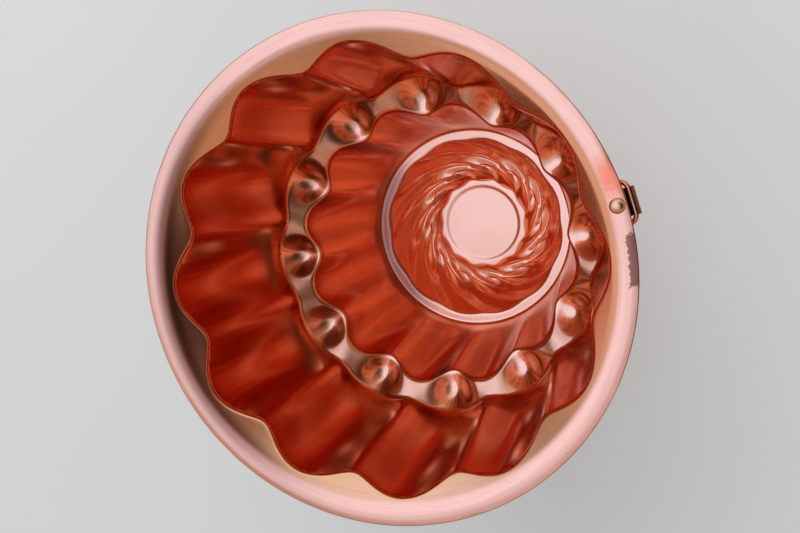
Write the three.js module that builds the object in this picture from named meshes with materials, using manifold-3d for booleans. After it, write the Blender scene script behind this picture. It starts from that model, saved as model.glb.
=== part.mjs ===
// A tall tiered jelly and cake mould, pressed from one copper-toned sheet, with a riveted clip and a
// hanging ring. Millimetres. The mould stands mouth up with its axis on Z; the origin is the centre of
// the crown's flat outer face. The hanger is on +X. Twelve lines of the wall run through the ledge's
// hollows, and twelve more, the necks, run between them.

import * as THREE from "three";
import { mergeVertices } from "three/addons/utils/BufferGeometryUtils.js";
import Module from "manifold-3d";

const wasm = await Module();
wasm.setup();

// Sheet and symmetry
const sheet = 0.8;
const lobes = 12;
const lobeAngle = (2 * Math.PI) / lobes;
const neckTurn = THREE.MathUtils.degToRad(3.2);
const gap = 0.3;

// Heights of the mouth-side surface
const crestHeight = 175.2;
const lipHeight = 174.8;
const ledgeHeight = 90;
const ledgeReach = 7;
const ringHeight = 22;
const crownFaceHeight = sheet;
const discHeight = crownFaceHeight + 0.6;

// Radii of the mouth-side surface
const rimRadius = 100;
const lipBendRadius = 98.2;
const crestRadius = 96.4;
const crestLand = 1.6;
const shoulderRadius = 92.8;
const ringOuterRadius = 50.9;
const ringInnerRadius = 45.7;
const ringWave = 0.5;
const discRadius = 23.5;
const discWave = 0.7;
const panelEdgeRadius = 20.6;
const panelRadius = 18.9;

// Where the wave of the wall reaches on its neck lines and on its hollow lines: radius, height
const flangeNeck = [83.2, 166.6];
const flangeLobe = [89.3, 172];
const ledgeTopNeck = [73.4, 95];
const ledgeTopHollow = [78.2, 93.6];
const ledgeFootNeck = [64.8, 89.6];
const ledgeFootHollow = [59.6, 85.2];
const valleyDepth = 5.6;
const strandHeight = 2;
const valleyOuterNeck = [35.6, -valleyDepth];
const valleyOuterStrand = [34.2, strandHeight - valleyDepth];
const valleyInnerNeck = [27, -valleyDepth];
const valleyInnerStrand = [28, strandHeight - valleyDepth];

// Hollows pressed into the ledge
const hollowCircle = 69.2;
const hollowRadius = 12.5;
const hollowDepth = 4.2;

// Swirl of the crown, from the ring ledge in to the disc
const swirlTurn = THREE.MathUtils.degToRad(95);

// Hanger
const rivetHeadRadius = 2.9;
const rivetHeadHeight = 2;
const shankRadius = 1.4;
const tailRadius = 2;
const tailHeight = 1;
const strapWidth = 10.3;
const strapThickness = 0.8;
const wireRadius = 0.95;
const ringLength = 15.1;
const ringDepth = 10;
const ringCorner = 3.2;
const ringDroop = THREE.MathUtils.degToRad(15);
const hingeRadius = rimRadius + 1.4;
const hingeHeight = lipHeight - 3.4;
const strapTop = lipHeight - sheet - gap;
const hookTip = THREE.MathUtils.degToRad(50);

// How finely the sheet is faceted
const columns = lobes * 4;
const bendSteps = 2;

// One corner of the wall: its radius and height on a neck line and on a hollow line, the length of sheet
// in the bend before and after it, the intervals of the straight run to it, and the line that carries
// the narrow crease of the wave, 0 for the neck lines and 1 for the hollow lines.
function corner(neck, hollow, { before = 0, after = 0, run = 1, crease = 0 } = {}) {
  return { neck, hollow, before, after, run, crease };
}

function roundCorner(radius, height, sizes) {
  return corner([radius, height], [radius, height], sizes);
}

// The wall from the lip in to the disc.
const corners = [
  roundCorner(rimRadius, lipHeight),
  roundCorner(lipBendRadius, crestHeight, {
    before: 1.4,
    after: lipBendRadius - crestRadius - crestLand / 2,
  }),
  roundCorner(shoulderRadius, crestHeight, {
    before: crestRadius - crestLand / 2 - shoulderRadius,
    after: 3.4,
  }),
  corner(flangeNeck, flangeLobe, { before: 1.3, after: 2.2 }),
  corner(ledgeTopNeck, ledgeTopHollow, { before: 1.8, after: 1.8, run: 3 }),
  corner(ledgeFootNeck, ledgeFootHollow, { before: 2.2, after: 2.2, run: 5, crease: 1 }),
  roundCorner(ringOuterRadius, ringHeight, { before: 1.2, after: 1.2, run: 3, crease: 1 }),
  corner([ringInnerRadius + ringWave, ringHeight], [ringInnerRadius - ringWave, ringHeight], {
    before: 1.5,
    after: 1.5,
    crease: 1,
  }),
  corner(valleyOuterNeck, valleyOuterStrand, { before: 4, after: 4, run: 4 }),
  corner(valleyInnerNeck, valleyInnerStrand, { before: 3, after: 3 }),
  corner([discRadius + discWave, discHeight], [discRadius - discWave, discHeight], { before: 1, after: 1 }),
  roundCorner(panelEdgeRadius, discHeight, { before: 0.8, after: 0.8 }),
  roundCorner(panelRadius, crownFaceHeight),
];

// One line of the wall: straight runs joined by curved bends, as [radius, height] points.
function bentLine(line) {
  const at = corners.map((turn) => new THREE.Vector2(...turn[line]));
  const points = [at[0]];
  let last = at[0];
  for (let i = 1; i < corners.length; i += 1) {
    const { before, after, run } = corners[i];
    const towards = at[i].clone().sub(at[i - 1]).setLength(before);
    const bendStart = at[i].clone().sub(towards);
    for (let step = 1; step <= run; step += 1) {
      points.push(last.clone().lerp(bendStart, step / run));
    }
    last = bendStart;
    if (!after) continue;
    const away = at[i + 1].clone().sub(at[i]).setLength(after);
    const bendEnd = at[i].clone().add(away);
    const bend = new THREE.QuadraticBezierCurve(bendStart, at[i], bendEnd);
    points.push(...bend.getPoints(bendSteps).slice(1));
    last = bendEnd;
  }
  return points;
}

// The crease value of each point that bentLine makes.
function creaseSides() {
  const sides = [corners[0].crease];
  for (let i = 1; i < corners.length; i += 1) {
    const from = corners[i - 1].crease;
    const { run, after, crease } = corners[i];
    for (let step = 1; step <= run; step += 1) {
      sides.push(THREE.MathUtils.lerp(from, crease, step / run));
    }
    if (after) sides.push(...Array(bendSteps).fill(crease));
  }
  return sides;
}

// 0 on one line and 1 half a lobe away, with a narrow crease at 0 and a broad round at 1.
function creasedWave(angle) {
  const softness = 0.35;
  const rounded = (value) => Math.hypot(value, softness) - softness;
  return rounded(Math.sin((angle * lobes) / 2)) / rounded(1);
}

// How far towards the hollow line a point at this angle lies.
function hollowShare(angle, side) {
  const creasedAtNeck = creasedWave(angle);
  const creasedAtHollow = 1 - creasedWave(angle + lobeAngle / 2);
  return creasedAtNeck * (1 - side) + creasedAtHollow * side;
}

// The crown's flutes turn further round the axis the nearer they come to it.
function swirl(radius) {
  const inward = THREE.MathUtils.clamp((ringInnerRadius - radius) / (ringInnerRadius - discRadius), 0, 1);
  return -swirlTurn * inward;
}

// Depth of the hollows below the ledge at a point of the ledge.
function hollowDip(x, y) {
  const angle = Math.atan2(y, x) - neckTurn;
  const nearest = (Math.floor(angle / lobeAngle) + 0.5) * lobeAngle + neckTurn;
  const away = Math.hypot(x - hollowCircle * Math.cos(nearest), y - hollowCircle * Math.sin(nearest));
  return away < hollowRadius ? (hollowDepth * (1 + Math.cos((Math.PI * away) / hollowRadius))) / 2 : 0;
}

const neckLine = bentLine("neck");
const hollowLine = bentLine("hollow");
const sides = creaseSides();

// The mouth-side surface at a station along the wall and a column round it.
function innerPoint(station, column) {
  const neck = neckLine[station];
  const hollow = hollowLine[station];
  const angle = (column * 2 * Math.PI) / columns;
  const share = hollowShare(angle, sides[station]);
  const radius = THREE.MathUtils.lerp(neck.x, hollow.x, share);
  const height = THREE.MathUtils.lerp(neck.y, hollow.y, share);
  const azimuth = angle + neckTurn + swirl((neck.x + hollow.x) / 2);
  const x = radius * Math.cos(azimuth);
  const y = radius * Math.sin(azimuth);
  const onLedge = Math.abs(height - ledgeHeight) <= ledgeReach;
  return new THREE.Vector3(x, y, height - (onLedge ? hollowDip(x, y) : 0));
}

// The same point moved out through the sheet.
function outerPoint(station, column) {
  const last = neckLine.length - 1;
  const next = innerPoint(Math.min(station + 1, last), column);
  const along = next.sub(innerPoint(Math.max(station - 1, 0), column));
  const around = innerPoint(station, column + 1).sub(innerPoint(station, column - 1));
  const outward = along.cross(around).setLength(sheet);
  if (station === last) outward.set(0, 0, -sheet);
  return innerPoint(station, column).add(outward);
}

// The pressed sheet: a lathe of the right topology whose points are then put on the fluted surfaces.
function shellGeometry() {
  const stations = neckLine.length;
  const rings = [];
  rings.push(() => new THREE.Vector3(0, 0, crownFaceHeight - sheet));
  for (let s = stations - 1; s >= 0; s -= 1) rings.push((column) => outerPoint(s, column));
  for (let s = 0; s < stations; s += 1) rings.push((column) => innerPoint(s, column));
  rings.push(() => new THREE.Vector3(0, 0, crownFaceHeight));
  const outline = rings.map((ring) => ring(0)).map((point) => new THREE.Vector2(point.x, point.z));
  const geometry = new THREE.LatheGeometry(outline, columns);
  const position = geometry.getAttribute("position");
  for (let column = 0; column <= columns; column += 1) {
    rings.forEach((ring, row) => {
      const point = ring(column % columns);
      position.setXYZ(column * rings.length + row, point.x, point.y, point.z);
    });
  }
  return geometry;
}

// A cylinder or other lathe along Z from [radius, height] points.
function turned(outline, segments) {
  const points = outline.map(([radius, height]) => new THREE.Vector2(radius, height));
  return new THREE.LatheGeometry(points, segments).rotateX(Math.PI / 2);
}

// The clip's centre line, seen from the side: flat below the lip, then down and up round the ring's wire.
function strapLine() {
  const flat = strapTop - strapThickness / 2;
  const wrap = wireRadius + gap + strapThickness / 2;
  const foot = hingeHeight - wrap;
  const start = new THREE.CatmullRomCurve3(
    [
      [crestRadius - 3.4, flat],
      [crestRadius, flat],
      [rimRadius - 1.8, flat - 0.05],
      [rimRadius - 0.7, flat - 0.75],
      [rimRadius + 0.2, foot + 0.3],
      [hingeRadius, foot],
    ].map(([x, z]) => new THREE.Vector3(x, 0, z)),
  );
  const points = start.getPoints(20);
  const hookSteps = 10;
  for (let step = 1; step <= hookSteps; step += 1) {
    const angle = THREE.MathUtils.lerp(-Math.PI / 2, hookTip, step / hookSteps);
    const x = hingeRadius + wrap * Math.cos(angle);
    points.push(new THREE.Vector3(x, 0, hingeHeight + wrap * Math.sin(angle)));
  }
  return points;
}

function strapGeometry() {
  const line = strapLine();
  const edge = (side) =>
    line.map((point, i) => {
      const before = line[Math.max(i - 1, 0)];
      const after = line[Math.min(i + 1, line.length - 1)];
      const across = new THREE.Vector2(before.z - after.z, after.x - before.x).setLength(strapThickness / 2);
      return new THREE.Vector2(point.x + side * across.x, point.z + side * across.y);
    });
  const outline = new THREE.Shape([...edge(-1), ...edge(1).reverse()]);
  const geometry = new THREE.ExtrudeGeometry(outline, { depth: strapWidth, bevelEnabled: false });
  return geometry.rotateX(Math.PI / 2).translate(0, strapWidth / 2, 0);
}

// A domed head, a shank and a flat tail, with the shank's middle on Z = 0 at the crest of the rim.
function rivetGeometry() {
  const headFace = crestHeight + gap;
  const tailTop = strapTop - strapThickness - gap;
  const dome = [];
  const domeSteps = 5;
  for (let step = 0; step <= domeSteps; step += 1) {
    const angle = (step * Math.PI) / 2 / domeSteps;
    dome.push([rivetHeadRadius * Math.cos(angle), headFace + rivetHeadHeight * Math.sin(angle)]);
  }
  dome[domeSteps][0] = 0;
  const outline = [
    [0, tailTop - tailHeight],
    [tailRadius, tailTop - tailHeight],
    [tailRadius, tailTop],
    [shankRadius, tailTop],
    [shankRadius, headFace],
    ...dome,
  ];
  return turned(outline, 24);
}

// A closed loop of wire: a torus whose tube is carried round a rounded rectangle in the XY plane.
function wireLoopGeometry() {
  const halfLength = ringLength / 2 - ringCorner;
  const halfDepth = ringDepth / 2 - ringCorner;
  const tube = 10;
  const cornerSteps = 6;
  const stops = [];
  [
    [1, 1],
    [-1, 1],
    [-1, -1],
    [1, -1],
  ].forEach(([sideX, sideY], quarter) => {
    for (let step = 0; step <= cornerSteps; step += 1) {
      const angle = ((quarter + step / cornerSteps) * Math.PI) / 2;
      const centre = new THREE.Vector3(sideX * halfDepth, sideY * halfLength, 0);
      stops.push({ centre, out: new THREE.Vector3(Math.cos(angle), Math.sin(angle), 0) });
    }
  });
  const geometry = new THREE.TorusGeometry(1, wireRadius, tube, stops.length);
  const position = geometry.getAttribute("position");
  const up = new THREE.Vector3(0, 0, 1);
  for (let row = 0; row <= tube; row += 1) {
    const around = ((row % tube) * 2 * Math.PI) / tube;
    for (let i = 0; i <= stops.length; i += 1) {
      const { centre, out } = stops[i % stops.length];
      const point = centre.clone().addScaledVector(out, ringCorner + wireRadius * Math.cos(around));
      point.addScaledVector(up, wireRadius * Math.sin(around));
      position.setXYZ(row * (stops.length + 1) + i, point.x, point.y, point.z);
    }
  }
  return geometry;
}

// A closed mesh as a solid, for cutting.
function solidOf(geometry) {
  const bare = geometry.clone();
  bare.deleteAttribute("normal");
  bare.deleteAttribute("uv");
  const merged = mergeVertices(bare, 1e-3);
  const mesh = new wasm.Mesh({
    numProp: 3,
    vertProperties: new Float32Array(merged.getAttribute("position").array),
    triVerts: new Uint32Array(merged.index.array),
  });
  return new wasm.Manifold(mesh);
}

function geometryOf(solid) {
  const mesh = solid.getMesh();
  const geometry = new THREE.BufferGeometry();
  geometry.setAttribute("position", new THREE.BufferAttribute(mesh.vertProperties, 3));
  geometry.setIndex(new THREE.BufferAttribute(mesh.triVerts, 1));
  return geometry;
}

// The rivet hole through the flange and the clip.
function rivetHole() {
  const reach = 6;
  const holeRadius = shankRadius + gap;
  const drill = new THREE.CylinderGeometry(holeRadius, holeRadius, 2 * reach, 24);
  return solidOf(drill.rotateX(Math.PI / 2).translate(crestRadius, 0, crestHeight));
}

function drilled(geometry) {
  return geometryOf(solidOf(geometry).subtract(rivetHole()));
}

const copperTone = new THREE.MeshStandardMaterial({ color: 0xd98a6f, roughness: 0.22, metalness: 1 });
const clipTone = new THREE.MeshStandardMaterial({ color: 0x9c5a45, roughness: 0.35, metalness: 1 });
const rivetTone = new THREE.MeshStandardMaterial({ color: 0xcf8d6c, roughness: 0.25, metalness: 1 });
const wireTone = new THREE.MeshStandardMaterial({ color: 0xd2886a, roughness: 0.28, metalness: 1 });

function piece(name, geometry, material) {
  const mesh = new THREE.Mesh(geometry, material);
  mesh.name = name;
  return mesh;
}

const shell = piece("mould_shell", drilled(shellGeometry()), copperTone);
const strap = piece("hanger_strap", drilled(strapGeometry()), clipTone);
const rivet = piece("hanger_rivet", rivetGeometry(), rivetTone);
rivet.position.x = crestRadius;

const ring = piece("hanging_ring", wireLoopGeometry(), wireTone);
ring.position.x = -ringDepth / 2;
const hinge = new THREE.Group();
hinge.position.set(hingeRadius, 0, hingeHeight);
hinge.rotation.y = -ringDroop;
hinge.add(ring);

const group = new THREE.Group();
group.add(shell, strap, rivet, hinge);

export default group;
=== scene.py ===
"""Looks of a tall tiered copper-toned mould: pressed sheet, riveted clip, rivet and hanging ring.

Metres, in the part's frame: mouth up, axis on Z, hanger on +X.
"""

import math

import bmesh
import bpy
import numpy as np
from mathutils import Matrix, Vector, noise


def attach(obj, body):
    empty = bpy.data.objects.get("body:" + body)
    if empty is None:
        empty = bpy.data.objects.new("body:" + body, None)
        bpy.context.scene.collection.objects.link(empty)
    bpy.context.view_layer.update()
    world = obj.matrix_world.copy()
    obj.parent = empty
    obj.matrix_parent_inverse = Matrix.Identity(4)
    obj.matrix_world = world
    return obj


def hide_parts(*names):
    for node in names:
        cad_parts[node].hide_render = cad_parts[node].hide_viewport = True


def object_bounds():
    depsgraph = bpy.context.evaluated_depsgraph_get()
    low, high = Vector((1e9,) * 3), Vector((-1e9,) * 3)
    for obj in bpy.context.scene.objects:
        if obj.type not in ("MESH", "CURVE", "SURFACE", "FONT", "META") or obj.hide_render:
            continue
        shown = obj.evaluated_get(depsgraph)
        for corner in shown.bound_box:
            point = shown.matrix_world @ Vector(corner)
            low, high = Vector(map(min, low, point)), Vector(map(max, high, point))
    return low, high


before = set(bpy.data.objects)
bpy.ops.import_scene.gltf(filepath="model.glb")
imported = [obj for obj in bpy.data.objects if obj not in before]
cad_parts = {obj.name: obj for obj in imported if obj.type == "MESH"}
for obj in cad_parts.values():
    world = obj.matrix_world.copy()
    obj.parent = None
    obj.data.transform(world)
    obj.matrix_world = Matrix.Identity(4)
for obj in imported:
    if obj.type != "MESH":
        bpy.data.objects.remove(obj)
cad_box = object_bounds()

MM = 0.001
TAU = 2 * math.pi

# ---------------------------------------------------------------- sizes, in millimetres

SHEET = 0.8
LOBES = 12
LOBE_ANGLE = TAU / LOBES
NECK_TURN = math.radians(3.2)

CREST_HEIGHT = 175.2
LIP_HEIGHT = 174.8
LEDGE_HEIGHT = 90.0
LEDGE_REACH = 7.0
RING_HEIGHT = 22.0
CROWN_FACE_HEIGHT = SHEET
PANEL_STEP = 0.6
DISC_HEIGHT = CROWN_FACE_HEIGHT + PANEL_STEP

RIM_RADIUS = 100.0
CREST_RADIUS = 96.4
CREST_LAND = 1.6
LIP_BEND_RADIUS = 98.2
SHOULDER_RADIUS = 92.8
RING_OUTER_RADIUS = 50.9
RING_INNER_RADIUS = 45.7
RING_WAVE = 0.5
DISC_RADIUS = 23.5
DISC_WAVE = 0.7
PANEL_EDGE_RADIUS = 20.6
PANEL_RADIUS = 18.9
CENTRE_RADIUS = 1.0

# Where the wave of the wall reaches on its neck lines and on its hollow lines: radius, height.
FLANGE_NECK = (83.2, 166.6)
FLANGE_LOBE = (89.3, 172.0)
LEDGE_TOP_NECK = (73.4, 95.0)
LEDGE_TOP_HOLLOW = (78.2, 93.6)
LEDGE_FOOT_NECK = (64.8, 89.6)
LEDGE_FOOT_HOLLOW = (59.6, 85.2)
RING_INNER_NECK = (RING_INNER_RADIUS + RING_WAVE, RING_HEIGHT)
RING_INNER_HOLLOW = (RING_INNER_RADIUS - RING_WAVE, RING_HEIGHT)
VALLEY_DEPTH = 5.6
STRAND_HEIGHT = 2.0
VALLEY_OUTER_NECK = (35.6, -VALLEY_DEPTH)
VALLEY_OUTER_STRAND = (34.2, STRAND_HEIGHT - VALLEY_DEPTH)
VALLEY_INNER_NECK = (27.0, -VALLEY_DEPTH)
VALLEY_INNER_STRAND = (28.0, STRAND_HEIGHT - VALLEY_DEPTH)
DISC_NECK = (DISC_RADIUS + DISC_WAVE, DISC_HEIGHT)
DISC_STRAND = (DISC_RADIUS - DISC_WAVE, DISC_HEIGHT)

HOLLOW_CIRCLE = 69.2
HOLLOW_RADIUS = 12.5
HOLLOW_DEPTH = 4.2

SWIRL_TURN = math.radians(95)

GAP = 0.3
RIVET_HEAD_RADIUS = 2.9
RIVET_HEAD_HEIGHT = 2.0
SHANK_RADIUS = 1.4
TAIL_RADIUS = 2.0
TAIL_HEIGHT = 1.0
STRAP_WIDTH = 10.3
STRAP_THICKNESS = 0.8
STRAP_TOP = LIP_HEIGHT - SHEET - GAP
WIRE_RADIUS = 0.95
RING_LENGTH = 15.1
RING_DEPTH = 10.0
RING_CORNER = 3.2
RING_DROOP = math.radians(15)
HINGE_RADIUS = RIM_RADIUS + 1.4
HINGE_HEIGHT = LIP_HEIGHT - 3.4
HOOK_TIP = math.radians(50)

COLUMNS = LOBES * 22
BEND_STEPS = 6


def corner(neck, hollow, before=0.0, after=0.0, run=1, crease=1):
    """One corner of the wall: its radius and height on a neck line and on a hollow line, the length
    of sheet in the bend before and after it, the intervals of the straight run to it, and the line
    that carries the narrow crease of the wave, 0 for the neck lines and 1 for the hollow lines."""
    return dict(neck=neck, hollow=hollow, before=before, after=after, run=run, crease=crease)


def round_corner(radius, height, **sizes):
    """A corner where the wall is round, with no wave."""
    return corner((radius, height), (radius, height), **sizes)


# The wall from the lip in to the disc.
CORNERS = [
    round_corner(RIM_RADIUS, LIP_HEIGHT, crease=0),
    round_corner(
        LIP_BEND_RADIUS,
        CREST_HEIGHT,
        before=1.4,
        after=LIP_BEND_RADIUS - CREST_RADIUS - CREST_LAND / 2,
        run=1,
        crease=0,
    ),
    round_corner(
        SHOULDER_RADIUS,
        CREST_HEIGHT,
        before=CREST_RADIUS - CREST_LAND / 2 - SHOULDER_RADIUS,
        after=3.4,
        run=1,
        crease=0,
    ),
    corner(FLANGE_NECK, FLANGE_LOBE, before=1.3, after=2.2, run=6, crease=0),
    corner(LEDGE_TOP_NECK, LEDGE_TOP_HOLLOW, before=1.8, after=1.8, run=14, crease=0),
    corner(LEDGE_FOOT_NECK, LEDGE_FOOT_HOLLOW, before=2.2, after=2.2, run=18, crease=1),
    round_corner(RING_OUTER_RADIUS, RING_HEIGHT, before=1.2, after=1.2, run=14),
    corner(RING_INNER_NECK, RING_INNER_HOLLOW, before=1.5, after=1.5, run=4),
    corner(VALLEY_OUTER_NECK, VALLEY_OUTER_STRAND, before=4.0, after=4.0, run=14, crease=0),
    corner(VALLEY_INNER_NECK, VALLEY_INNER_STRAND, before=3.0, after=3.0, run=6, crease=0),
    corner(DISC_NECK, DISC_STRAND, before=1.0, after=1.0, run=6, crease=0),
    round_corner(PANEL_EDGE_RADIUS, DISC_HEIGHT, before=0.8, after=0.8, run=1),
    round_corner(PANEL_RADIUS, CROWN_FACE_HEIGHT, before=0.8, after=0.8, run=0),
    round_corner(CENTRE_RADIUS, CROWN_FACE_HEIGHT, run=8),
]


# ---------------------------------------------------------------- the pressed sheet


def bent_line(line):
    """One line of the wall: straight runs joined by curved bends, as rows of radius and height."""
    at = [np.array(turn[line], float) for turn in CORNERS]
    points = [at[0]]
    last = at[0]
    for i in range(1, len(CORNERS)):
        turn = CORNERS[i]
        towards = at[i] - at[i - 1]
        bend_start = at[i] - towards / np.linalg.norm(towards) * turn["before"]
        for step in range(1, turn["run"] + 1):
            points.append(last + (bend_start - last) * step / turn["run"])
        last = bend_start
        if not turn["after"]:
            continue
        away = at[i + 1] - at[i]
        bend_end = at[i] + away / np.linalg.norm(away) * turn["after"]
        for step in range(1, BEND_STEPS + 1):
            t = step / BEND_STEPS
            points.append((1 - t) ** 2 * bend_start + 2 * t * (1 - t) * at[i] + t**2 * bend_end)
        last = bend_end
    return np.array(points)


def crease_sides():
    """For each point of bent_line, 0 where the wave is creased on the neck lines and 1 where it is
    creased on the hollow lines."""
    sides = [CORNERS[0]["crease"]]
    for before, turn in zip(CORNERS, CORNERS[1:]):
        for step in range(1, turn["run"] + 1):
            sides.append(before["crease"] + (turn["crease"] - before["crease"]) * step / turn["run"])
        if turn["after"]:
            sides.extend([turn["crease"]] * BEND_STEPS)
    return np.array(sides, float)


def creased_wave(angle):
    """0 on one line and 1 half a lobe away, with a narrow crease at 0 and a broad round at 1."""
    softness = 0.35
    highest = math.hypot(1, softness) - softness
    return (np.hypot(np.sin(angle * LOBES / 2), softness) - softness) / highest


def swirl(radius):
    """The turn of the crown's flutes about the axis at each radius."""
    inward = np.clip((RING_INNER_RADIUS - radius) / (RING_INNER_RADIUS - DISC_RADIUS), 0, 1)
    return -SWIRL_TURN * inward


def hollow_dip(x, y):
    """Depth of the hollows below the ledge."""
    nearest = (np.floor((np.arctan2(y, x) - NECK_TURN) / LOBE_ANGLE) + 0.5) * LOBE_ANGLE + NECK_TURN
    centre_x = HOLLOW_CIRCLE * np.cos(nearest)
    centre_y = HOLLOW_CIRCLE * np.sin(nearest)
    away = np.hypot(x - centre_x, y - centre_y) / HOLLOW_RADIUS
    return HOLLOW_DEPTH * (1 + np.cos(math.pi * np.minimum(away, 1))) / 2


def mouth_side():
    """The mouth-side surface as an array [station, column, xyz] in millimetres."""
    neck = bent_line("neck")[:, None, :]
    hollow = bent_line("hollow")[:, None, :]
    side = crease_sides()[:, None]
    angle = np.arange(COLUMNS)[None, :] * TAU / COLUMNS
    share = creased_wave(angle) * (1 - side) + (1 - creased_wave(angle + LOBE_ANGLE / 2)) * side
    radius = neck[..., 0] + (hollow[..., 0] - neck[..., 0]) * share
    height = neck[..., 1] + (hollow[..., 1] - neck[..., 1]) * share
    turned = angle + NECK_TURN + swirl((neck[..., 0] + hollow[..., 0]) / 2)
    x = radius * np.cos(turned)
    y = radius * np.sin(turned)
    on_ledge = np.abs(height - LEDGE_HEIGHT) <= LEDGE_REACH
    return np.stack([x, y, height - on_ledge * hollow_dip(x, y)], axis=-1)


def ragged_lip(surface):
    """Roughens the cut edge of the sheet: the first stations rise and fall a little round the rim."""
    depth = 0.16
    lowest = -0.6
    noise_circle = 14
    finer = 3.1
    finer_share = 0.6
    stations = 3
    for column in range(COLUMNS):
        angle = column * TAU / COLUMNS
        spot = Vector((math.cos(angle), math.sin(angle), 0.0)) * noise_circle
        wander = noise.noise(spot) + finer_share * noise.noise(spot * finer)
        for station in range(stations):
            surface[station, column, 2] += depth * max(wander, lowest) * (1 - station / stations)
    return surface


def sheet_offset(surface):
    """The far side of the sheet."""
    along = np.gradient(surface, axis=0)
    around = np.roll(surface, -1, axis=1) - np.roll(surface, 1, axis=1)
    outward = np.cross(along, around)
    outward /= np.linalg.norm(outward, axis=-1, keepdims=True)
    outward[-1] = (0, 0, -1)
    return surface + SHEET * outward


def grid_faces(first_rows, columns):
    """Quads between successive rings of vertices, given each ring's first index."""
    faces = []
    for a, b in zip(first_rows, first_rows[1:]):
        for c in range(columns):
            d = (c + 1) % columns
            faces.append((a + c, a + d, b + d, b + c))
    return faces


def build_shell():
    """The sheet as one closed piece: mouth side, cut lip and far side."""
    inner = ragged_lip(mouth_side())
    outer = sheet_offset(inner)
    middle = (inner[0] + outer[0]) / 2
    middle[:, 2] -= SHEET / 4
    rings = np.concatenate([inner[::-1], middle[None], outer])
    centre = [(0, 0, CROWN_FACE_HEIGHT), (0, 0, CROWN_FACE_HEIGHT - SHEET)]
    points = np.concatenate([rings.reshape(-1, 3), centre]) * MM
    starts = [row * COLUMNS for row in range(len(rings))]
    faces = grid_faces(starts, COLUMNS)
    top = len(points) - 2
    bottom = len(points) - 1
    last = starts[-1]
    for c in range(COLUMNS):
        d = (c + 1) % COLUMNS
        faces.append((top, d, c))
        faces.append((bottom, last + c, last + d))
    return mesh_piece("mould_body", points, faces)


# ---------------------------------------------------------------- small pieces


def mesh_piece(name, points, faces):
    """A smooth-shaded piece with its faces turned outwards."""
    mesh = bpy.data.meshes.new(name)
    mesh.from_pydata([tuple(p) for p in points], [], faces)
    piece = bpy.data.objects.new(name, mesh)
    bpy.context.scene.collection.objects.link(piece)
    work = bmesh.new()
    work.from_mesh(mesh)
    bmesh.ops.recalc_face_normals(work, faces=work.faces)
    work.to_mesh(mesh)
    work.free()
    for polygon in mesh.polygons:
        polygon.use_smooth = True
    return piece


def smooth_line(stops, steps):
    """A Catmull-Rom line through the stops."""
    stops = [np.array(stop, float) for stop in stops]
    padded = [2 * stops[0] - stops[1], *stops, 2 * stops[-1] - stops[-2]]
    line = []
    for i in range(1, len(padded) - 2):
        a, b, c, d = padded[i - 1 : i + 3]
        slope = c - a
        square = 2 * a - 5 * b + 4 * c - d
        cube = 3 * b - a - 3 * c + d
        for step in range(steps):
            t = step / steps
            line.append(0.5 * (2 * b + slope * t + square * t**2 + cube * t**3))
    line.append(stops[-1])
    return line


def strap_line():
    """The clip's centre line from the side: flat below the lip, then down and up round the ring's wire."""
    flat = STRAP_TOP - STRAP_THICKNESS / 2
    wrap = WIRE_RADIUS + GAP + STRAP_THICKNESS / 2
    foot = HINGE_HEIGHT - wrap
    line = smooth_line(
        [
            (CREST_RADIUS - 3.4, flat),
            (CREST_RADIUS, flat),
            (RIM_RADIUS - 1.8, flat - 0.05),
            (RIM_RADIUS - 0.7, flat - 0.75),
            (RIM_RADIUS + 0.2, foot + 0.3),
            (HINGE_RADIUS, foot),
        ],
        steps=8,
    )
    hook_steps = 24
    for step in range(1, hook_steps + 1):
        angle = -math.pi / 2 + (HOOK_TIP + math.pi / 2) * step / hook_steps
        out = HINGE_RADIUS + wrap * math.cos(angle)
        up = HINGE_HEIGHT + wrap * math.sin(angle)
        line.append(np.array((out, up)))
    return np.array(line)


def build_strap():
    """The clip: its centre line given a thickness and a width, with its edges worn round."""
    line = strap_line()
    along = np.gradient(line, axis=0)
    across = np.stack([-along[:, 1], along[:, 0]], axis=-1)
    across *= STRAP_THICKNESS / 2 / np.linalg.norm(across, axis=-1, keepdims=True)
    outline = np.concatenate([line - across, (line + across)[::-1]])
    half = STRAP_WIDTH / 2
    points = [(x, y, z) for y in (-half, half) for x, z in outline]
    count = len(outline)
    faces = grid_faces([0, count], count)
    for shift in (0, count):
        for i in range(len(line) - 1):
            opposite = shift + count - 1 - i
            faces.append((shift + i, shift + i + 1, opposite - 1, opposite))
    strap = mesh_piece("hanger_clip", np.array(points) * MM, faces)
    edges = strap.modifiers.new("worn edges", "BEVEL")
    edges.width = 0.16 * MM
    edges.segments = 3
    edges.limit_method = "ANGLE"
    edges.angle_limit = math.radians(50)
    return strap


def lathe_piece(name, outline, columns, x):
    """A piece turned about the vertical line at x, from radius and height pairs that start and end
    on that line."""
    rows = outline[1:-1]
    points = [(x, 0.0, outline[0][1]), (x, 0.0, outline[-1][1])]
    for radius, height in rows:
        for c in range(columns):
            angle = c * TAU / columns
            points.append((x + radius * math.cos(angle), radius * math.sin(angle), height))
    starts = [2 + row * columns for row in range(len(rows))]
    faces = grid_faces(starts, columns)
    for c in range(columns):
        d = (c + 1) % columns
        faces.append((0, starts[0] + d, starts[0] + c))
        faces.append((1, starts[-1] + c, starts[-1] + d))
    return mesh_piece(name, np.array(points) * MM, faces)


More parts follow.
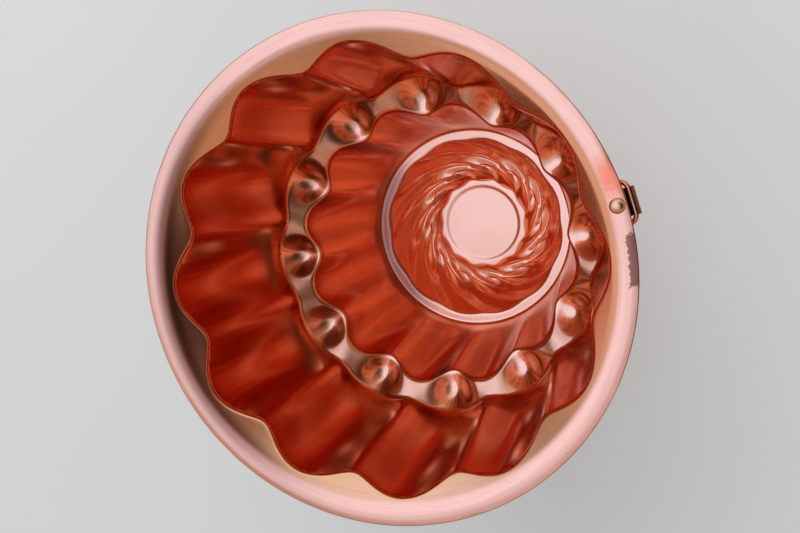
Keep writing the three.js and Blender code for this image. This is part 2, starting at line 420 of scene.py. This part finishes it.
def build_rivet():
    """The head is pressed a little into the crest; its foot has a small flat skirt."""
    seat = CREST_HEIGHT - 0.35
    skirt = seat + 0.3
    crown = CREST_HEIGHT + GAP + RIVET_HEAD_HEIGHT
    tail_top = STRAP_TOP - STRAP_THICKNESS
    fullness = 0.85
    dome = []
    steps = 18
    for step in range(steps):
        angle = step * math.pi / 2 / steps
        radius = RIVET_HEAD_RADIUS * math.cos(angle) ** fullness
        dome.append((radius, skirt + (crown - skirt) * math.sin(angle)))
    outline = [
        (0, tail_top - TAIL_HEIGHT),
        (TAIL_RADIUS * 0.82, tail_top - TAIL_HEIGHT),
        (TAIL_RADIUS, tail_top - TAIL_HEIGHT * 0.6),
        (TAIL_RADIUS, tail_top - 0.05),
        (SHANK_RADIUS, tail_top),
        (SHANK_RADIUS, seat),
        (RIVET_HEAD_RADIUS - 0.1, seat),
        (RIVET_HEAD_RADIUS, seat + 0.12),
        *dome,
        (0, crown),
    ]
    return lathe_piece("hanger_rivet_head", outline, columns=64, x=CREST_RADIUS)


def build_ring():
    """A closed oblong loop of wire, hung by one long side and folded back under the flange."""
    half_length = RING_LENGTH / 2 - RING_CORNER
    half_depth = RING_DEPTH / 2 - RING_CORNER
    corner_steps = 14
    side_steps = 6
    tube = 28
    sides = np.array([(1, 1), (-1, 1), (-1, -1), (1, -1)])
    centres = sides * (half_depth, half_length)
    stops = []
    for quarter, centre in enumerate(centres):
        for step in range(corner_steps + 1):
            angle = (quarter + step / corner_steps) * math.pi / 2
            out = np.array((math.cos(angle), math.sin(angle)))
            stops.append((centre + out * RING_CORNER, out))
        start = centre + out * RING_CORNER
        end = centres[(quarter + 1) % len(centres)] + out * RING_CORNER
        for step in range(1, side_steps):
            stops.append((start + (end - start) * step / side_steps, out))
    points = []
    for place, out in stops:
        for c in range(tube):
            around = c * TAU / tube
            flat = place + out * WIRE_RADIUS * math.cos(around)
            points.append((flat[0] - RING_DEPTH / 2, flat[1], WIRE_RADIUS * math.sin(around)))
    starts = [row * tube for row in range(len(stops))]
    faces = grid_faces([*starts, starts[0]], tube)
    ring = mesh_piece("hanger_ring", np.array(points) * MM, faces)
    hung = Matrix.Translation((HINGE_RADIUS * MM, 0, HINGE_HEIGHT * MM))
    ring.data.transform(hung @ Matrix.Rotation(-RING_DROOP, 4, "Y"))
    return ring


# ---------------------------------------------------------------- node helpers


class Shader:
    """Short ways to add and join nodes in one tree."""

    def __init__(self, tree):
        self.tree = tree

    def node(self, kind, inputs=None, **settings):
        made = self.tree.nodes.new(kind)
        for key, value in settings.items():
            setattr(made, key, value)
        for key, value in (inputs or {}).items():
            if isinstance(value, bpy.types.NodeSocket):
                self.tree.links.new(value, made.inputs[key])
            else:
                made.inputs[key].default_value = value
        return made

    def math(self, operation, *values):
        return self.node("ShaderNodeMath", dict(enumerate(values)), operation=operation).outputs[0]

    def product(self, result, *others):
        for other in others:
            result = self.math("MULTIPLY", result, other)
        return result

    def total(self, result, *others):
        for other in others:
            result = self.math("ADD", result, other)
        return result

    def vector(self, operation, *values, output=0):
        made = self.node("ShaderNodeVectorMath", dict(enumerate(values)), operation=operation)
        return made.outputs[output]

    def combine(self, x, y, z):
        return self.node("ShaderNodeCombineXYZ", {0: x, 1: y, 2: z}).outputs[0]

    def noise(self, vector, scale, detail=3.0, roughness=0.5):
        inputs = {"Vector": vector, "Scale": scale, "Detail": detail, "Roughness": roughness}
        return self.node("ShaderNodeTexNoise", inputs).outputs["Fac"]

    def ramp(self, value, low, high, at_low=0.0, at_high=1.0):
        """at_low where value is low, at_high where it is high, and smooth between them."""
        inputs = {
            "Value": value,
            "From Min": low,
            "From Max": high,
            "To Min": at_low,
            "To Max": at_high,
        }
        return self.node("ShaderNodeMapRange", inputs, interpolation_type="SMOOTHSTEP").outputs[0]

    def mix(self, share, a, b):
        """Two colours, each a node's output or three numbers, mixed by share."""
        made = self.node("ShaderNodeMix", data_type="RGBA")
        factor, first_colour, second_colour = 0, 6, 7
        colour_output = 2
        for index, value in ((factor, share), (first_colour, a), (second_colour, b)):
            if isinstance(value, bpy.types.NodeSocket):
                self.join(value, made.inputs[index])
            elif isinstance(value, tuple):
                made.inputs[index].default_value = (*value, 1)
            else:
                made.inputs[index].default_value = value
        return made.outputs[colour_output]

    def join(self, output, socket):
        self.tree.links.new(output, socket)


class PartShader(Shader):
    """A shader that knows where on the part it is."""

    def __init__(self, tree):
        super().__init__(tree)
        self.where = self.node("ShaderNodeTexCoord").outputs["Object"]
        self.x, self.y, self.z = self.node("ShaderNodeSeparateXYZ", {0: self.where}).outputs
        square = self.total(self.product(self.x, self.x), self.product(self.y, self.y))
        self.radius = self.math("SQRT", square)
        self.angle = self.math("ARCTAN2", self.y, self.x)

    def height(self, low, high, at_low=0.0, at_high=1.0):
        """A ramp over the height above the crown's face, from low to high millimetres."""
        return self.ramp(self.z, low * MM, high * MM, at_low, at_high)

    def facing(self, degrees):
        """The cosine of the angle round the axis from a direction given in degrees."""
        return self.math("COSINE", self.math("SUBTRACT", self.angle, math.radians(degrees)))

    def inside(self):
        """1 where the surface faces the axis and 0 where it faces away from it."""
        soft = 5 * MM
        normal = self.node("ShaderNodeNewGeometry").outputs["True Normal"]
        from_axis = self.combine(self.x, self.y, 0.0)
        return self.ramp(self.vector("DOT_PRODUCT", normal, from_axis, output=1), soft, -soft)


# ---------------------------------------------------------------- metals

COPPER = (0.87, 0.34, 0.17)
WORN_COPPER = (0.82, 0.29, 0.12)
CLIP = (0.28, 0.09, 0.045)
WORN_CLIP = (0.17, 0.055, 0.025)
RIVET = (0.80, 0.33, 0.16)
WORN_RIVET = (0.62, 0.25, 0.11)
WIRE = (0.62, 0.20, 0.085)
WORN_WIRE = (0.45, 0.14, 0.06)

SPECK = (0.40, 0.16, 0.09)
# Painted shade on the flutes' flanks and in their necks.
FLUTE_PAINTED_SHADE = (0.50, 0.13, 0.05)
# Painted shade at the foot of the upper tier, just above the ledge.
FOOT_PAINTED_SHADE = (0.32, 0.13, 0.05)
# Painted shade on the far side of the ring ledge.
RING_LEDGE_PAINTED_SHADE = (0.26, 0.08, 0.05)
# Painted shade on the far side of the rim's crest.
CREST_PAINTED_SHADE = (0.30, 0.10, 0.06)
# Painted shade on the shoulder inside the crest, on the far side.
SHOULDER_PAINTED_SHADE = (0.19, 0.048, 0.022)
HEAT_STAIN = (0.84, 0.13, 0.045)
BARE_PATCH = (0.27, 0.075, 0.045)

# Heights over which a mark or a painted shade comes in or goes out, in millimetres.
WALLS_BEGIN = (24, 34)
WALLS_END = (170, 155)
FOOT_BEGINS = (97, 100)
FOOT_ENDS = (118, 102)
RING_LEDGE_BEGINS = (20.5, 21.2)
RING_LEDGE_ENDS = (23.6, 22.6)
RIM_BEGINS = (165, 168)
SHOULDER_BEGINS = (170, 173.5)
CREST_BEGINS = (172.5, 174.5)
CROWN_ENDS = (18, 30)

# The side away from the hanger, in degrees round the axis, where the rims get painted shade.
FAR_SIDE = 172


def rim_patch(shader, edge, start, end, inner, soft):
    """1 on a patch of the rim between two angles in degrees and outside an inner radius in
    millimetres, fading over soft degrees, with its edge moved by the edge noise."""
    most_degrees = 3.0
    most_length = 2.0 * MM
    moved_degrees = shader.math("MULTIPLY_ADD", edge, 2 * most_degrees, -most_degrees)
    moved_length = shader.math("MULTIPLY_ADD", edge, 2 * most_length, -most_length)
    degrees = shader.total(shader.math("DEGREES", shader.angle), moved_degrees)
    reach = shader.total(shader.radius, moved_length)
    return shader.product(
        shader.ramp(degrees, start, start + soft),
        shader.ramp(degrees, end, end - soft),
        shader.ramp(reach, inner * MM, (inner + soft / 2) * MM),
        shader.height(*RIM_BEGINS),
    )


def walls_with_painted_shade(shader, toned):
    """Darkens the flutes' flanks and necks a little, and the foot of the upper tier's hollows, as painted
    shade.
    """
    from_neck = shader.math("SUBTRACT", shader.angle, NECK_TURN)
    neck = shader.math("COSINE", shader.product(from_neck, LOBES))
    flank = shader.math("SUBTRACT", 1.0, shader.product(neck, neck))
    walls = shader.product(shader.height(*WALLS_BEGIN), shader.height(*WALLS_END))
    inside = shader.inside()
    # Painted shade: the flutes' flanks facing the axis and their necks are darker.
    dark_flank = shader.product(shader.ramp(flank, 0.3, 1.0, at_high=0.6), inside)
    dark_neck = shader.ramp(neck, 0.2, 1.0, at_high=0.25)
    dark = shader.product(shader.total(dark_flank, dark_neck), walls)
    toned = shader.mix(dark, toned, FLUTE_PAINTED_SHADE)
    # Painted shade in the corner where the upper tier's lobes meet the ledge.
    foot = shader.product(shader.height(*FOOT_BEGINS), shader.height(*FOOT_ENDS))
    foot = shader.product(foot, shader.ramp(neck, 0.6, -0.8, at_high=0.6), inside)
    return shader.mix(foot, toned, FOOT_PAINTED_SHADE)


def rims_with_painted_shade(shader, toned):
    """Darkens the far side of the ring ledge and of the rim as painted shade, most of all inside the rim's
    crest.
    """
    far_side = shader.facing(FAR_SIDE)
    ring_ledge = shader.product(shader.height(*RING_LEDGE_BEGINS), shader.height(*RING_LEDGE_ENDS))
    # Painted shade: the ring ledge is darker on the side away from the hanger.
    shaded_ledge = shader.product(shader.ramp(far_side, 0.45, 0.85, at_high=0.8), ring_ledge)
    toned = shader.mix(shaded_ledge, toned, RING_LEDGE_PAINTED_SHADE)
    # Painted shade: the crest is darker on the side away from the hanger.
    crest = shader.height(*CREST_BEGINS)
    shaded_crest = shader.product(shader.ramp(far_side, 0.0, 0.9, at_high=0.2), crest)
    toned = shader.mix(shaded_crest, toned, CREST_PAINTED_SHADE)
    # Painted shade: a dark band inside the crest, strongest on the side away from the hanger.
    inward = shader.ramp(shader.radius, 97.4 * MM, 93.2 * MM)
    shoulder = shader.product(inward, shader.height(*SHOULDER_BEGINS))
    shaded_shoulder = shader.product(shader.ramp(far_side, 0.35, 0.95, at_high=0.75), shoulder)
    return shader.mix(shaded_shoulder, toned, SHOULDER_PAINTED_SHADE)


def marked_rim(shader, toned):
    """Adds the heat stain and the bare patch on the rim, either side of the hanger.

    Gives the tone, and where the patch is."""
    edge = shader.noise(shader.where, 520.0, detail=5.0, roughness=0.7)
    bare = rim_patch(shader, edge, start=-17.5, end=-6.0, inner=96.6, soft=0.5)
    heated = rim_patch(shader, edge, start=-0.5, end=13.0, inner=92.5, soft=6.0)
    toned = shader.mix(shader.product(heated, 0.8), toned, HEAT_STAIN)
    toned = shader.mix(shader.product(bare, 0.9), toned, BARE_PATCH)
    return toned, bare


def metal(name, tint, worn_tint, roughness, grain, scratch, pressed_sheet=False):
    """Copper-toned metal: turned grain round the axis, soft stains, specks, scratches and waviness."""
    material = bpy.data.materials.new(name)
    material.use_nodes = True
    surface = material.node_tree.nodes["Principled BSDF"]
    shader = PartShader(material.node_tree)
    where = shader.where

    stretched_round = 0.004
    stretched_along = 0.06
    lines = shader.combine(shader.radius, shader.product(shader.angle, stretched_round), shader.z)
    along_x = shader.combine(shader.product(shader.x, stretched_along), shader.y, shader.z)
    turned = shader.noise(lines, 5200.0, detail=2.0)
    fine = shader.noise(where, 2600.0, detail=2.0)
    soft = shader.noise(where, 38.0, detail=4.0)
    stain = shader.ramp(shader.noise(where, 14.0, detail=5.0), 0.45, 0.75)
    specks = shader.ramp(shader.noise(where, 620.0, detail=1.0), 0.74, 0.80)
    scratches = shader.ramp(shader.noise(along_x, 1500.0, detail=2.0), 0.70, 0.78)
    crown_calm = shader.height(*CROWN_ENDS, at_low=0.2)
    drawn = shader.ramp(shader.noise(lines, 900.0, detail=3.0), 0.45, 0.70, at_high=0.28)
    drawn_tint = (tint[0] * 0.8, tint[1] * 0.72, tint[2] * 0.8)

    toned = shader.mix(shader.product(stain, 0.35), tint, worn_tint)
    toned = shader.mix(shader.ramp(soft, 0.3, 0.7, at_high=0.12), toned, worn_tint)
    toned = shader.mix(shader.product(specks, 0.30), toned, SPECK)
    toned = shader.mix(shader.product(drawn, crown_calm), toned, drawn_tint)

    rough = shader.total(
        shader.ramp(turned, 0.3, 0.7, at_low=roughness - 0.02, at_high=roughness + 0.03),
        shader.product(stain, 0.05),
        shader.product(scratches, scratch * 0.1),
        shader.height(20, 130, at_low=0.05, at_high=0.0),
    )
    if pressed_sheet:
        # Painted shade on the walls and rims, then the heat stain and the bare patch on the rim.
        toned = walls_with_painted_shade(shader, toned)
        toned = rims_with_painted_shade(shader, toned)
        toned, bare = marked_rim(shader, toned)
        rough = shader.total(rough, shader.product(bare, 0.25))

    relief = shader.total(
        shader.product(turned, shader.product(crown_calm, grain)),
        shader.product(fine, grain * 0.5),
        shader.product(scratches, -scratch),
        shader.product(soft, 4.0),
    )
    bump = shader.node("ShaderNodeBump", {"Height": relief, "Strength": 0.35, "Distance": 0.01 * MM})
    shader.join(toned, surface.inputs["Base Color"])
    shader.join(rough, surface.inputs["Roughness"])
    shader.join(bump.outputs[0], surface.inputs["Normal"])
    surface.inputs["Metallic"].default_value = 1.0
    return material


def give(piece, material):
    piece.data.materials.clear()
    piece.data.materials.append(material)


# ---------------------------------------------------------------- camera, floor and light


def view_axes():
    """Right, up and back of the picture, as directions in the part's frame.

    The line of sight is tilted from the mould's axis, it leans towards a direction round that axis,
    and the picture is turned about it."""
    tilt = math.radians(20.8)
    lean = math.radians(26.93)
    turn = math.radians(9.74)
    away = Vector((math.cos(lean), math.sin(lean), 0))
    forward = Vector((0, 0, -1))
    depth = math.sin(tilt) * away + math.cos(tilt) * forward
    near = math.cos(tilt) * away - math.sin(tilt) * forward
    side = depth.cross(near)
    axis_x = math.cos(turn) * near + math.sin(turn) * side
    axis_z = -depth
    axis_y = axis_z.cross(axis_x)
    return Matrix((axis_x, axis_y, axis_z))


def add_camera(axes):
    """Looks into the mouth from 400 mm, past the hanger's side of the rim."""
    distance = 0.3995
    rim_centre = Vector((-0.01005, -0.00427, -distance))
    rim_height = 174.2
    camera_data = bpy.data.cameras.new("view")
    camera_data.lens = 46.8
    camera_data.sensor_width = 36
    camera = bpy.data.objects.new("view", camera_data)
    bpy.context.scene.collection.objects.link(camera)
    place = Vector((0, 0, rim_height * MM)) - axes @ rim_centre
    camera.matrix_world = Matrix.Translation(place) @ axes.to_4x4()
    bpy.context.scene.camera = camera


def add_floor():
    """A plain pale floor under the part, with a faint unevenness of tone."""
    pale = (0.665, 0.68, 0.69)
    paler = (0.69, 0.705, 0.715)
    low = cad_box[0][2]
    reach = 6.0
    sides = [(-1, -1), (1, -1), (1, 1), (-1, 1)]
    points = [(x * reach, y * reach, low) for x, y in sides]
    floor = mesh_piece("floor", points, [(0, 1, 2, 3)])
    material = bpy.data.materials.new("pale floor")
    material.use_nodes = True
    shader = Shader(material.node_tree)
    surface = material.node_tree.nodes["Principled BSDF"]
    where = shader.node("ShaderNodeTexCoord").outputs["Object"]
    shader.join(shader.mix(shader.noise(where, 5.0, detail=2.0), pale, paler), surface.inputs["Base Color"])
    surface.inputs["Roughness"].default_value = 0.9
    surface.inputs["Specular IOR Level"].default_value = 0.0
    give(floor, material)


def add_world(axes):
    """A grey room with cool windows round the left of the view and a dark corner to its right, seen
    only in the metal. The floor is lit by an even grey, and the camera sees a plain backdrop."""
    even_light = (0.76, 0.76, 0.76)
    backdrop = (0.62, 0.63, 0.65)
    room = (0.42, 0.46, 0.46)
    # Degrees anticlockwise round the view from its right, degrees off the line back to the viewer,
    # half width and softness in degrees, colour.
    patches = [
        (205, 102, 28, 20, (0.79, 0.89, 1.03)),
        (95, 85, 40, 25, (0.97, 1.44, 1.57)),
        (240, 38, 24, 20, (0.72, 0.99, 1.74)),
        (290, 72, 26, 18, (0.55, 0.53, 0.52)),
        (55, 24, 14, 14, (0.29, 0.25, 0.31)),
        (350, 46, 27, 15, (0.075, 0.064, 0.08)),
        (168, 44, 36, 16, (1.12, 1.79, 3.40)),
    ]
    world = bpy.data.worlds.new("studio")
    bpy.context.scene.world = world
    world.use_nodes = True
    world.cycles.sampling_method = "NONE"
    tree = world.node_tree
    tree.nodes.clear()
    shader = Shader(tree)
    direction = shader.node("ShaderNodeTexCoord").outputs["Generated"]
    light = room
    for round_view, off_view, half_width, soft, colour in patches:
        turn = math.radians(round_view)
        off = math.radians(off_view)
        aim = Vector((math.sin(off) * math.cos(turn), math.sin(off) * math.sin(turn), math.cos(off)))
        cosine = shader.vector("DOT_PRODUCT", direction, tuple(axes @ aim), output=1)
        outer = math.cos(math.radians(half_width + soft))
        inner = math.cos(math.radians(half_width - soft))
        light = shader.mix(shader.ramp(cosine, outer, inner), light, colour)
    ray = shader.node("ShaderNodeLightPath").outputs
    shown = shader.mix(ray["Is Diffuse Ray"], light, even_light)
    shown = shader.mix(ray["Is Camera Ray"], shown, backdrop)
    background = shader.node("ShaderNodeBackground", {"Color": shown, "Strength": 1.0})
    output = shader.node("ShaderNodeOutputWorld")
    shader.join(background.outputs[0], output.inputs[0])


def add_lamp(name, axes, offset, size, power):
    """A soft lamp that lights the floor and isn't mirrored in the metal."""
    lamp_data = bpy.data.lights.new(name, "AREA")
    lamp_data.size = size
    lamp_data.energy = power
    lamp = bpy.data.objects.new(name, lamp_data)
    bpy.context.scene.collection.objects.link(lamp)
    centre = Vector((0, 0, CREST_HEIGHT * MM / 2))
    lamp.location = centre + axes @ Vector(offset)
    lamp.rotation_euler = (centre - lamp.location).to_track_quat("-Z", "Y").to_euler()
    lamp.visible_glossy = False
    lamp.visible_camera = False


# ---------------------------------------------------------------- the scene

sheet_metal = metal(
    "copper toned sheet", COPPER, WORN_COPPER, roughness=0.14, grain=0.7, scratch=1.0, pressed_sheet=True
)
clip_metal = metal("dull clip strip", CLIP, WORN_CLIP, roughness=0.30, grain=1.5, scratch=3.0)
rivet_metal = metal("polished rivet", RIVET, WORN_RIVET, roughness=0.17, grain=0.6, scratch=1.0)
wire_metal = metal("drawn wire", WIRE, WORN_WIRE, roughness=0.24, grain=1.2, scratch=2.0)

for piece, body, node, slot, material in (
    (build_shell(), "mould", "mould_shell", "copper_tone_sheet", sheet_metal),
    (build_strap(), "mould", "hanger_strap", "clip_metal", clip_metal),
    (build_rivet(), "mould", "hanger_rivet", "rivet_metal", rivet_metal),
    (build_ring(), "ring", "hanging_ring", "ring_wire", wire_metal),
):
    give(piece, material)
    give(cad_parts[node], material)
    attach(piece, body)
    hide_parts(node)

axes = view_axes()
add_camera(axes)
add_floor()
add_world(axes)
add_lamp("window light", axes, (-0.6, 0.9, 0.9), 1.4, 9.0)

scene = bpy.context.scene
scene.view_settings.view_transform = "Standard"
scene.cycles.max_bounces = 16
scene.cycles.glossy_bounces = 16
